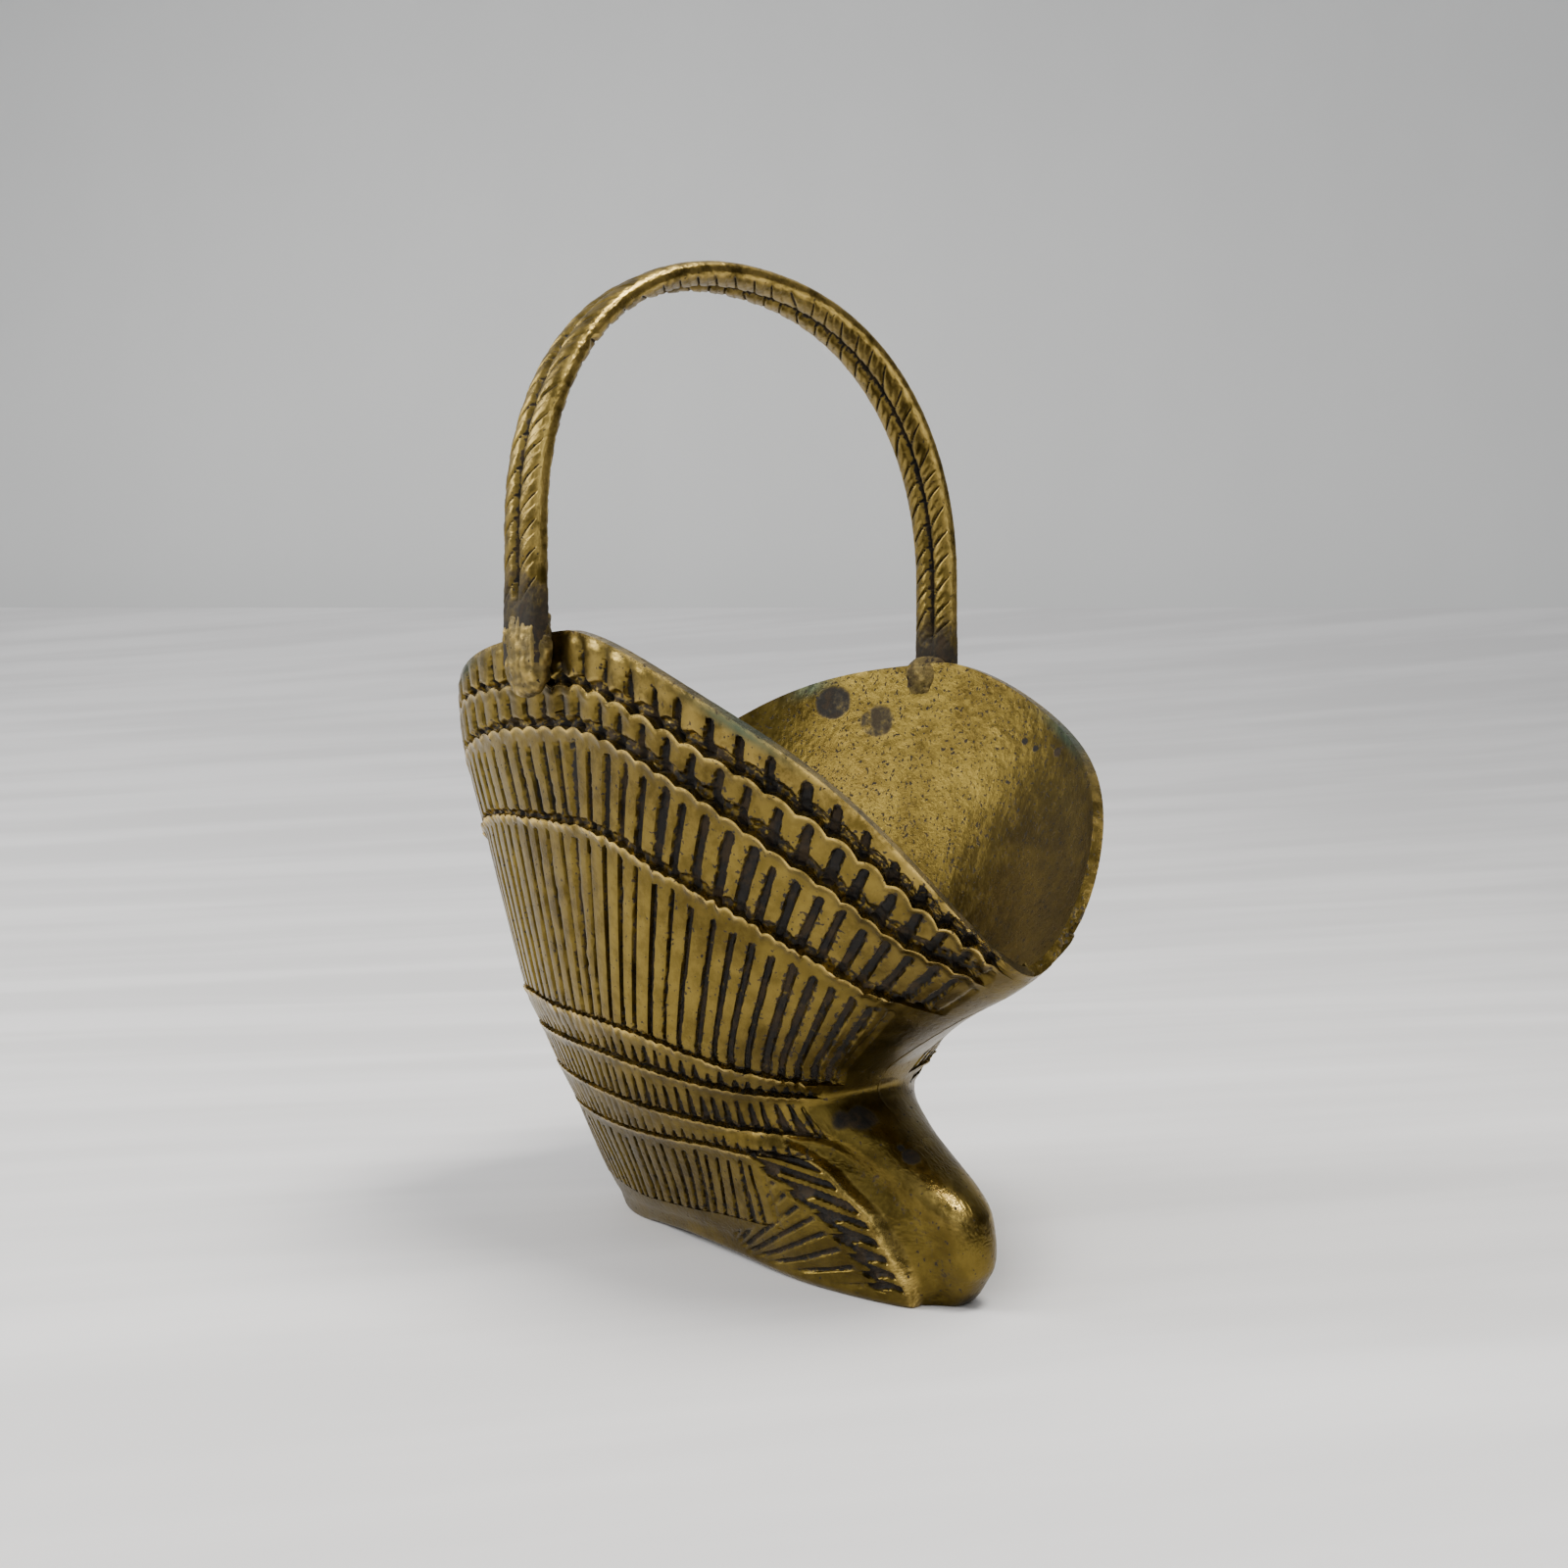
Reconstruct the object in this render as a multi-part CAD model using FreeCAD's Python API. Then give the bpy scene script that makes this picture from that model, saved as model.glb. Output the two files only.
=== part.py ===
import FreeCAD, Part

import math
import os

# Brass basket planter: two mirrored cast half shells brazed on the centre plane, with a rope handle
# brazed across the two lobes.  Millimetres.  X runs left to right, Y from the front lip to the back,
# Z up.  The origin is on the ground, at the middle of the pot's length and width.

# --- driving dimensions -------------------------------------------------------------------------
WALL = 2.0                # cast wall, measured square to the surface
SEAM = 0.5                # brazed gap between the two half shells
SEAM_BEAD = 0.8           # how far the seam filler stands proud inside the bowl
KEEL_Z = -0.7             # lowest metal of the raw casting, filed away to leave two flats at zero

HANDLE_Y = 4.9            # plane of the handle
HANDLE_HALF_SPAN = 55.7   # centre of the strip, at the feet
HANDLE_CROWN_Z = 195.2    # centre of the strip, at the top
HANDLE_SPRING_Z = 138.0   # height where the legs start to lean in
HANDLE_FOOT_Z = 113.0     # how low the feet reach down outside the rim
HANDLE_POWER = 2.18       # squareness of the arch
STRIP_WIDTH = 11.5        # along Y
STRIP_THICK = 4.6         # square to the arch
STRIP_ROUND = 1.0         # rounded long edges
ROPE_GROOVE = (1.3, 0.9)  # groove between the two rope strands: width, depth

BLOB_LEFT = (4.6, 8.2, 8.8)       # half sizes of the solder at the left foot
BLOB_RIGHT = (4.6, 7.8, 7.0)      # half sizes of the solder at the right foot
BLOB_ROUND = 3.2                  # rounding of both lumps of solder

ROWS_PER_STATION = 3      # surface rows between two stations
COLUMNS = 44              # surface columns from the front centre line to the back one

# Stations run from the rim down to the keel.  Each one is a closed loop, drawn by three points and
# a few shape numbers:
#   front (Y, Z), side (X, Y, Z), back (Y, Z), squareness (front, back),
#   toe (reach, spread in degrees, extra width), rise (how the height climbs away from the front)
STATIONS = (
    # rim
    ((-65.9, 59.9), (52.0, -2.6, 119.9), (65.9, 90.0), (2.50, 3.10), (0.0, 25, 0.0), 1.25),
    # first tier
    ((-63.7, 58.0), (51.3, -2.6, 110.6), (65.9, 85.5), (2.45, 3.05), (0.0, 25, 0.0), 1.25),
    # second tier
    ((-59.4, 55.3), (50.4, -2.1, 101.6), (65.9, 81.0), (2.40, 2.90), (0.0, 25, 0.0), 1.30),
    # third tier
    ((-49.3, 50.1), (48.0, -0.6, 84.4), (65.0, 68.5), (2.30, 2.50), (0.0, 25, 0.0), 1.40),
    # long flutes end
    ((-32.1, 39.3), (41.0, 3.9, 48.9), (59.5, 44.5), (2.10, 2.15), (0.0, 25, 0.0), 1.80),
    # waist
    ((-30.1, 36.4), (38.9, 4.9, 43.6), (58.3, 40.4), (2.00, 2.05), (0.0, 25, 0.0), 2.00),
    # neck
    ((-27.3, 33.5), (34.3, 7.8, 34.5), (55.3, 32.0), (2.00, 2.00), (2.9, 28, 0.0), 2.00),
    # instep
    ((-25.8, 27.3), (29.2, 11.6, 26.3), (51.7, 24.4), (2.00, 2.00), (14.0, 30, 0.0), 2.00),
    # toe
    ((-22.0, 15.7), (20.6, 17.4, 14.2), (50.1, 11.9), (2.00, 2.00), (33.0, 36, 2.4), 2.00),
    # toe cap
    ((-17.2, 5.6), (14.8, 20.3, 4.3), (46.5, 4.2), (2.00, 2.00), (38.0, 41, 3.8), 2.00),
    # ground line
    ((-11.4, KEEL_Z), (10.2, 24.1, KEEL_Z), (41.9, KEEL_Z), (2.20, 2.20), (36.4, 47, 4.8), 2.00),
    # keel
    ((12.6, KEEL_Z), (0.0, 19.3, KEEL_Z), (23.1, KEEL_Z), (2.00, 2.00), (0.0, 47, 0.0), 2.00),
)
RIM_DIP = 0.38            # fullness of the rim curve between the lip and the handle
TOE_POWER = 2.8           # how squarely the toe cap ends at its sides
ARCH_LIFT = 3.0           # clear height under the body between toe and heel
ARCH_AT, ARCH_SPREAD = 66.0, 24.0   # degrees round from the front


def glide(values, s):
    """Smooth curve through evenly spaced values that never overshoots them."""
    last = len(values) - 1
    k = min(int(s), last - 1)
    u = s - k
    steps = [b - a for a, b in zip(values, values[1:])]

    def slope(i):
        if i == 0:
            return 1.5 * steps[0] - 0.5 * slope_inside(1) if last > 1 else steps[0]
        if i == last:
            return 1.5 * steps[-1] - 0.5 * slope_inside(last - 1) if last > 1 else steps[-1]
        return slope_inside(i)

    def slope_inside(i):
        a, b = steps[i - 1], steps[i]
        return 0.0 if a * b <= 0.0 else 2.0 * a * b / (a + b)

    a, b, m, n = values[k], values[k + 1], slope(k), slope(k + 1)
    return (a * (2 * u ** 3 - 3 * u ** 2 + 1) + b * (3 * u ** 2 - 2 * u ** 3)
            + m * (u ** 3 - 2 * u ** 2 + u) + n * (u ** 3 - u ** 2))


TRACKS = list(zip(*[sum(row[:5], ()) + row[5:] for row in STATIONS]))


def hull_point(turn, s):
    """Point on the outer face of the left half: turn 0 is the front, pi the back; s counts stations."""
    (front_y, front_z, side_x, side_y, side_z, back_y, back_z,
     square, square_back, toe, toe_deg, toe_wide, rise) = [glide(track, s) for track in TRACKS]
    c, n = math.cos(turn), abs(math.sin(turn))
    power = 2.0 / (square_back if c < 0 else square)
    along = math.copysign(abs(c) ** power, c)
    x = side_x * n ** power
    far = back_y if c < 0 else front_y
    y = side_y + (far - side_y) * abs(along)
    dip = RIM_DIP * max(0.0, 1.0 - s / 5.0) if c > 0 else 0.0
    if c < 0:
        rise = min(rise, 1.0 + 0.12 * s)
    drop = 1.0 - n ** rise * (1.0 - dip * n ** 3 * abs(c))
    z = side_z + ((back_z if c < 0 else front_z) - side_z) * drop
    spread = math.radians(toe_deg)
    y -= toe * math.exp(-(turn / spread) ** TOE_POWER)
    if turn < 2.0 * spread:
        x += toe_wide * math.sin(turn / (2.0 * spread) * math.pi) ** 1.5
    low = max(0.0, 1.0 - abs(s - 10.3) / 1.6)
    z += ARCH_LIFT * low * math.exp(-((math.degrees(turn) - ARCH_AT) / ARCH_SPREAD) ** 2)
    return FreeCAD.Vector(-x, y, z)


def hull_normal(turn, s):
    """Outward direction of the hull at a point."""
    last = len(STATIONS) - 1
    t = min(max(turn, 0.03), math.pi - 0.03)
    v = min(max(s, 0.02), last - 0.06)
    across = hull_point(t + 0.01, v) - hull_point(t - 0.01, v)
    down = hull_point(t, v + 0.01) - hull_point(t, v - 0.01)
    out = across.cross(down)
    if turn <= 0.0 or turn >= math.pi or s >= last:
        out.x = 0.0
    return out.normalize()


def hull_face(inset):
    """B-spline face through the hull, moved inwards by the inset."""
    last = len(STATIONS) - 1
    rows = last * ROWS_PER_STATION
    grid = []
    for j in range(rows + 1):
        s = last * j / rows
        line = []
        for i in range(COLUMNS + 1):
            turn = math.pi * i / COLUMNS
            point = hull_point(turn, s) - hull_normal(turn, s) * inset
            if i in (0, COLUMNS) or j == rows:
                point.x = 0.0
            line.append(point)
        grid.append(line)
    surface = Part.BSplineSurface()
    (row_knots, row_mults), (col_knots, col_mults) = clamped(rows + 1), clamped(COLUMNS + 1)
    surface.buildFromPolesMultsKnots(grid, row_mults, col_mults, row_knots, col_knots,
                                     False, False, 3, 3)
    return surface


def clamped(count):
    """Knots and multiplicities of an even cubic spline with this many poles."""
    spans = count - 3
    return [float(k) for k in range(spans + 1)], [4] + [1] * (spans - 1) + [4]


def seam_edges(surface):
    """Front, keel and back edges of a hull face, all lying on the centre plane, and its rim edge."""
    u0, u1, v0, v1 = surface.bounds()
    front = surface.vIso(v0).toShape()
    back = surface.vIso(v1).toShape()
    rim = surface.uIso(u0).toShape()
    keel = surface.uIso(u1).toShape()
    return front, keel, back, rim


def seam_face(outer, inner):
    """Flat face between the outer and inner outlines on the centre plane."""
    front_o, keel_o, back_o, _ = seam_edges(outer)
    front_i, keel_i, back_i, _ = seam_edges(inner)
    lip = Part.makeLine(front_o.Vertexes[0].Point, front_i.Vertexes[0].Point)
    tail = Part.makeLine(back_o.Vertexes[0].Point, back_i.Vertexes[0].Point)
    edges = Part.__sortEdges__([front_o, keel_o, back_o, tail, back_i, keel_i, front_i, lip])
    return Part.Face(Part.Wire(edges))


def half_shell_left():
    """Cast left half: outer and inner hull faces, the rim between them and the flat seam face."""
    outer, inner = hull_face(0.0), hull_face(WALL)
    rim = Part.makeRuledSurface(seam_edges(outer)[3], seam_edges(inner)[3])
    shell = Part.Shell([outer.toShape(), inner.toShape(), rim, seam_face(outer, inner)])
    shell.sewShape()
    solid = Part.Solid(shell)
    if solid.Volume < 0:
        solid.reverse()
    return filed(moved(solid, -SEAM / 2))


def filed(shape):
    """The shape with everything under the ground plane filed away."""
    return largest(shape.cut(Part.makeBox(200, 300, 20, FreeCAD.Vector(-100, -150, -20))))


def moved(shape, x):
    """Copy of a shape slid along X."""
    copy = shape.copy()
    copy.translate(FreeCAD.Vector(x, 0, 0))
    return copy


def mirrored(shape):
    """The same shape on the other side of the centre plane."""
    return shape.mirror(FreeCAD.Vector(0, 0, 0), FreeCAD.Vector(1, 0, 0))


def seam_braze():
    """Filler in the gap between the half shells, standing slightly proud inside."""
    face = seam_face(hull_face(0.0), hull_face(WALL + SEAM_BEAD))
    return filed(moved(face.extrude(FreeCAD.Vector(SEAM, 0, 0)), -SEAM / 2))


def arch_curve(offset):
    """Arch line in the XZ plane, moved outwards by the offset, from foot to foot."""
    points = [FreeCAD.Vector(-HANDLE_HALF_SPAN - offset, 0, HANDLE_FOOT_Z)]
    rise = HANDLE_CROWN_Z - HANDLE_SPRING_Z
    power = 2.0 / HANDLE_POWER
    for i in range(33):
        a = math.pi * i / 32
        c, n = math.cos(a), math.sin(a)
        x = -math.copysign(abs(c) ** power, c) * HANDLE_HALF_SPAN
        z = HANDLE_SPRING_Z + rise * max(n, 0.0) ** power
        dx = -c * rise / HANDLE_HALF_SPAN * abs(c) ** (1.0 - power)
        dz = max(n, 0.0) ** (2.0 - power) * HANDLE_HALF_SPAN / rise
        size = math.hypot(dx, dz) or 1.0
        points.append(FreeCAD.Vector(x + offset * dx / size, 0, z + offset * dz / size))
    points.append(FreeCAD.Vector(HANDLE_HALF_SPAN + offset, 0, HANDLE_FOOT_Z))
    curve = Part.BSplineCurve()
    curve.interpolate(points)
    return curve.toShape()


def arch_band(low, high, width):
    """Band of the given width along Y between two offsets of the arch."""
    inner, outer = arch_curve(low), arch_curve(high)
    feet = [Part.makeLine(inner.Vertexes[k].Point, outer.Vertexes[k].Point) for k in (0, 1)]
    face = Part.Face(Part.Wire(Part.__sortEdges__([inner, outer] + feet)))
    band = face.extrude(FreeCAD.Vector(0, width, 0))
    band.translate(FreeCAD.Vector(0, HANDLE_Y - width / 2, 0))
    return band


def rope_handle():
    """Arched strip of two rope strands; its feet stand just outside the rim, held by the solder."""
    half = STRIP_THICK / 2
    band = arch_band(-half, half, STRIP_WIDTH)
    long_edges = [e for e in band.Edges if e.Length > 100.0]
    band = band.makeFillet(STRIP_ROUND, long_edges)
    width, depth = ROPE_GROOVE
    band = band.cut(arch_band(half - depth, half + 1.0, width))
    band = band.cut(arch_band(-half - 1.0, -half + depth, width))
    return largest(band)


def largest(shape):
    """The biggest solid of a shape."""
    return max(shape.Solids, key=lambda s: s.Volume)


def foot_braze(half_sizes, centre, others):
    """Rounded lump of solder round a handle foot, fitted to the rim and the strip."""
    corner = centre - FreeCAD.Vector(*half_sizes)
    lump = Part.makeBox(*[2 * half for half in half_sizes], corner)
    lump = lump.makeFillet(BLOB_ROUND, lump.Edges)
    return largest(lump.cut(others))


def main():
    os.makedirs("parts", exist_ok=True)
    left = half_shell_left()
    right = mirrored(left)
    handle = rope_handle()
    held = Part.makeCompound([left, right, handle])
    left_braze = foot_braze(BLOB_LEFT, FreeCAD.Vector(-54.0, HANDLE_Y, 117.5), held)
    right_braze = foot_braze(BLOB_RIGHT, FreeCAD.Vector(54.0, HANDLE_Y, 117.8), held)
    nodes = {
        "left_half_shell": left,
        "right_half_shell": right,
        "seam_braze": seam_braze(),
        "rope_handle": handle,
        "left_handle_braze": left_braze,
        "right_handle_braze": right_braze,
    }
    for name, shape in nodes.items():
        shape.exportStep("parts/" + name + ".step")


main()
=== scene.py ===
"""Looks of the cast-brass basket planter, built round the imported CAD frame."""

import logging
import math
from dataclasses import dataclass, field
from enum import Enum
from typing import Dict, List, Sequence, Tuple

import bpy
import numpy as np
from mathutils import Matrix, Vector


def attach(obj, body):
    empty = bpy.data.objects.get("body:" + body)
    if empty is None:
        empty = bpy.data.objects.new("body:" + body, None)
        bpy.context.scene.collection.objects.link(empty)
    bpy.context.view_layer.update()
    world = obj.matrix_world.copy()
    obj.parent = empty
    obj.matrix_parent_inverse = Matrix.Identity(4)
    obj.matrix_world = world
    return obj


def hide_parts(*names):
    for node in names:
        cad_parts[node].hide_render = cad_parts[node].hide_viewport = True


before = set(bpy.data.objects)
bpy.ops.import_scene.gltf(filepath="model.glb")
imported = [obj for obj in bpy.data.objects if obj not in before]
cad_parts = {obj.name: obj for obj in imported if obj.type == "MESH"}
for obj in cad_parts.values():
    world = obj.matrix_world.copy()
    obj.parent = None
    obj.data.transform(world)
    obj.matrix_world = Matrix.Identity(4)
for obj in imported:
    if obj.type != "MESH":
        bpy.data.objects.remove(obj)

LOG = logging.getLogger("planter")
MM = 0.001
Array = np.ndarray
Colour = Tuple[float, float, float]

WALL = 2.0            # cast wall, in millimetres
KEEL_Z = -0.7         # lowest metal before the flats were filed
FLUTE_COLUMNS = 600   # columns from the front seam to the back seam of one half


class Side(Enum):
    """Which half of the pot a piece belongs to; the value multiplies X."""

    LEFT = 1.0
    RIGHT = -1.0


def smooth_step(low: float, high: float, x: Array) -> Array:
    """Smooth ramp from 0 at ``low`` to 1 at ``high``.

    Args:
        low: Value where the ramp starts.
        high: Value where the ramp ends.
        x: Values to map.

    Returns:
        The ramp, same shape as ``x``.
    """
    t = np.clip((x - low) / (high - low), 0.0, 1.0)
    return t * t * (3.0 - 2.0 * t)


def bell(x: Array, width: float) -> Array:
    """Gaussian bump of unit height.

    Args:
        x: Distance from the middle.
        width: Distance where the bump has dropped to 1/e.

    Returns:
        The bump, same shape as ``x``.
    """
    return np.exp(-(x / width) ** 2)


class Grain:
    """Seeded smooth lattice noise for cast-metal unevenness."""

    def __init__(self, seed: int) -> None:
        """Fills the lattice.

        Args:
            seed: Seed of the random lattice.
        """
        self.table = np.random.default_rng(seed).uniform(-1.0, 1.0, (256, 256))

    def layer(self, u: Array, v: Array) -> Array:
        """One octave of noise.

        Args:
            u: First coordinate, one lattice cell per unit.
            v: Second coordinate, one lattice cell per unit.

        Returns:
            Values in -1..1.
        """
        iu, iv = np.floor(u).astype(int), np.floor(v).astype(int)
        fu, fv = u - iu, v - iv
        fu, fv = fu * fu * (3 - 2 * fu), fv * fv * (3 - 2 * fv)
        t = self.table
        a, b = t[iu % 256, iv % 256], t[(iu + 1) % 256, iv % 256]
        c, d = t[iu % 256, (iv + 1) % 256], t[(iu + 1) % 256, (iv + 1) % 256]
        return (a * (1 - fu) + b * fu) * (1 - fv) + (c * (1 - fu) + d * fu) * fv

    def cloud(self, u: Array, v: Array, octaves: int = 3) -> Array:
        """Several octaves of noise.

        Args:
            u: First coordinate.
            v: Second coordinate.
            octaves: Number of layers, each half the size of the one before.

        Returns:
            Values roughly in -1..1.
        """
        total = np.zeros(np.broadcast(u, v).shape)
        for k in range(octaves):
            total += self.layer(u * 2 ** k + 17.3 * k, v * 2 ** k + 9.1 * k) * 0.55 ** k
        return total / 1.6


GRAIN = Grain(20)
FACTS = ("grime_and_shade", "wear", "stain", "specks", "green")   # what the finish reads at every vertex


def glide(values: Array, s: Array) -> Array:
    """Monotone cubic through evenly spaced rows of values.

    Args:
        values: Array (rows, tracks).
        s: Row coordinates, any shape.

    Returns:
        Array with shape ``s.shape + (tracks,)``.
    """
    steps = np.diff(values, axis=0)
    a, b = steps[:-1], steps[1:]
    product = a * b
    inner = np.where(product > 0, 2 * product / np.where(a + b == 0, 1, a + b), 0.0)
    first, last = 1.5 * steps[:1] - 0.5 * inner[:1], 1.5 * steps[-1:] - 0.5 * inner[-1:]
    slopes = np.concatenate([first, inner, last])
    k = np.clip(s.astype(int), 0, len(values) - 2)
    u = (s - k)[..., None]
    return (values[k] * (2 * u ** 3 - 3 * u ** 2 + 1) + values[k + 1] * (3 * u ** 2 - 2 * u ** 3)
            + slopes[k] * (u ** 3 - 2 * u ** 2 + u) + slopes[k + 1] * (u ** 3 - u ** 2))


@dataclass(frozen=True)
class Hull:
    """Smooth body of one half: a loop at every station from the rim to the keel.

    A loop is ``x = X sin(t)^(2/n)``, ``y = Y + (Yend - Y) |cos t|^(2/n)`` with ``t`` the turn from
    the front seam to the back one, pulled forward by the toe and lifted between toe and heel.

    Attributes:
        stations: Front y z, side x y z, back y z, squareness front back, toe reach spread width, rise.
        rim_dip: Fullness of the rim curve between the lip and the handle.
        toe_power: How squarely the toe cap ends at its sides.
        arch_lift: Clear height under the body between toe and heel, millimetres.
        arch_at: Angle of the arch's middle from the front, degrees.
        arch_spread: Width of the arch, degrees.
    """

    stations: Tuple[Tuple[float, ...], ...] = (
        (-65.9, 59.9, 52.0, -2.6, 119.9, 65.9, 90.0, 2.50, 3.10, 0.0, 25, 0.0, 1.25),
        (-63.7, 58.0, 51.3, -2.6, 110.6, 65.9, 85.5, 2.45, 3.05, 0.0, 25, 0.0, 1.25),
        (-59.4, 55.3, 50.4, -2.1, 101.6, 65.9, 81.0, 2.40, 2.90, 0.0, 25, 0.0, 1.30),
        (-49.3, 50.1, 48.0, -0.6, 84.4, 65.0, 68.5, 2.30, 2.50, 0.0, 25, 0.0, 1.40),
        (-32.1, 39.3, 41.0, 3.9, 48.9, 59.5, 44.5, 2.10, 2.15, 0.0, 25, 0.0, 1.80),
        (-30.1, 36.4, 38.9, 4.9, 43.6, 58.3, 40.4, 2.00, 2.05, 0.0, 25, 0.0, 2.00),
        (-27.3, 33.5, 34.3, 7.8, 34.5, 55.3, 32.0, 2.00, 2.00, 2.9, 28, 0.0, 2.00),
        (-25.8, 27.3, 29.2, 11.6, 26.3, 51.7, 24.4, 2.00, 2.00, 14.0, 30, 0.0, 2.00),
        (-22.0, 15.7, 20.6, 17.4, 14.2, 50.1, 11.9, 2.00, 2.00, 33.0, 36, 2.4, 2.00),
        (-17.2, 5.6, 14.8, 20.3, 4.3, 46.5, 4.2, 2.00, 2.00, 38.0, 41, 3.8, 2.00),
        (-11.4, KEEL_Z, 10.2, 24.1, KEEL_Z, 41.9, KEEL_Z, 2.20, 2.20, 36.4, 47, 4.8, 2.00),
        (12.6, KEEL_Z, 0.0, 19.3, KEEL_Z, 23.1, KEEL_Z, 2.00, 2.00, 0.0, 47, 0.0, 2.00),
    )
    rim_dip: float = 0.38
    toe_power: float = 2.8
    arch_lift: float = 3.0
    arch_at: float = 66.0
    arch_spread: float = 24.0

    @property
    def last(self) -> float:
        """Coordinate of the keel."""
        return float(len(self.stations) - 1)

    def points(self, turn: Array, s: Array) -> Array:
        """Points on the outer face of the left half, in millimetres.

        Args:
            turn: Angle from the front seam, radians.
            s: Station coordinate, same shape.

        Returns:
            Array with a last axis of x, y, z.
        """
        p = np.moveaxis(glide(np.array(self.stations, float), s), -1, 0)
        fy, fz, sx, sy, sz, by, bz, sq, sqb, toe, spread, wide, rise = p
        c, n = np.cos(turn), np.clip(np.abs(np.sin(turn)), 0.0, 1.0)
        behind = c < 0
        power = 2.0 / np.where(behind, sqb, sq)
        x = sx * n ** power
        y = sy + (np.where(behind, by, fy) - sy) * np.abs(c) ** power
        dip = np.where(behind, 0.0, self.rim_dip * np.clip(1.0 - s / 5.0, 0.0, None))
        climb = np.where(behind, np.minimum(rise, 1.0 + 0.12 * s), rise)
        drop = 1.0 - n ** climb * (1.0 - dip * n ** 3 * np.abs(c))
        z = sz + (np.where(behind, bz, fz) - sz) * drop
        width = np.radians(spread)
        y = y - toe * np.exp(-(turn / width) ** self.toe_power)
        bulge = np.sin(np.clip(turn / (2 * width), 0, 1) * math.pi)
        x = x + wide * np.clip(bulge, 0, None) ** 1.5
        low = np.clip(1.0 - np.abs(s - 10.3) / 1.6, 0.0, None)
        z = z + self.arch_lift * low * bell(np.degrees(turn) - self.arch_at, self.arch_spread)
        return np.stack([-x, y, z], -1)

    def frame_at(self, turn: Array, s: Array) -> Tuple[Array, Array, Array]:
        """Outward normals and how many millimetres one unit of s and one radian cover.

        Args:
            turn: Angle from the front seam, radians.
            s: Station coordinate, same shape.

        Returns:
            Normals, millimetres per unit of s, millimetres per radian.
        """
        t = np.clip(turn, 0.02, math.pi - 0.02)
        v = np.clip(s, 0.02, self.last - 0.06)
        across = (self.points(t + 0.008, v) - self.points(t - 0.008, v)) / 0.016
        down = (self.points(t, v + 0.01) - self.points(t, v - 0.01)) / 0.02
        out = np.cross(across, down)
        seam = (turn <= 0.0) | (turn >= math.pi) | (s >= self.last)
        out[..., 0] = np.where(seam, 0.0, out[..., 0])
        out /= np.linalg.norm(out, axis=-1, keepdims=True)
        return out, np.linalg.norm(down, axis=-1), np.linalg.norm(across, axis=-1)


@dataclass(frozen=True)
class Tier:
    """One band of cast ornament between two border lines.

    Attributes:
        name: What the band is called.
        top: Border above, as station coordinates at the angles of ``Ornament.angles``.
        count: Grooves from seam to seam.
        start: Where grooves start, as a share of the band.
        widths: Half widths of a groove at its top and bottom, in millimetres.
        depth: Groove depth in millimetres.
        lip: Height of the proud top edge in millimetres.
        recess: Depth of the gritty line under the band in millimetres.
        gap: Width of that line in millimetres.
        scallop: Height of the waves of the top edge in millimetres.
        waves: Waves of the top edge from seam to seam.
        front: Angle where the ornament starts beside the smooth front strip, degrees.
        rows: Mesh rows.
        tarnish: How dark the grime in the grooves is, 0..1.
        swell: How full the ribs between the grooves are, 0..1.
        rubbed: How worn the crowns of the ribs are, 0..1.
        beaded: Whether the top edge is a crumbly bright bead.
        meets_toe: Whether the facet of the toe reaches into the band.
    """

    name: str
    top: Tuple[float, ...]
    count: int
    start: float
    widths: Tuple[float, float]
    depth: float
    lip: float
    recess: float
    gap: float
    scallop: float
    waves: int
    front: float
    rows: int
    tarnish: float
    swell: float = 0.25
    rubbed: float = 0.10
    beaded: bool = False
    meets_toe: bool = False


@dataclass
class Sheet:
    """Relief sampled on a grid: points and the surface facts the finish needs.

    Attributes:
        points: Places in millimetres.
        grime_and_shade: Soiling in the hollows, plus painted shade in the toe's valley and deeper inside
            the pot.
        wear: Rubbed bright metal, plus painted highlights on the toe's bulge.
        stain: Dark tarnish spots.
        specks: How thickly fine dark specks lie.
        green: Verdigris.
    """

    points: Array
    grime_and_shade: Array
    wear: Array
    stain: Array
    specks: Array
    green: Array


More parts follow.
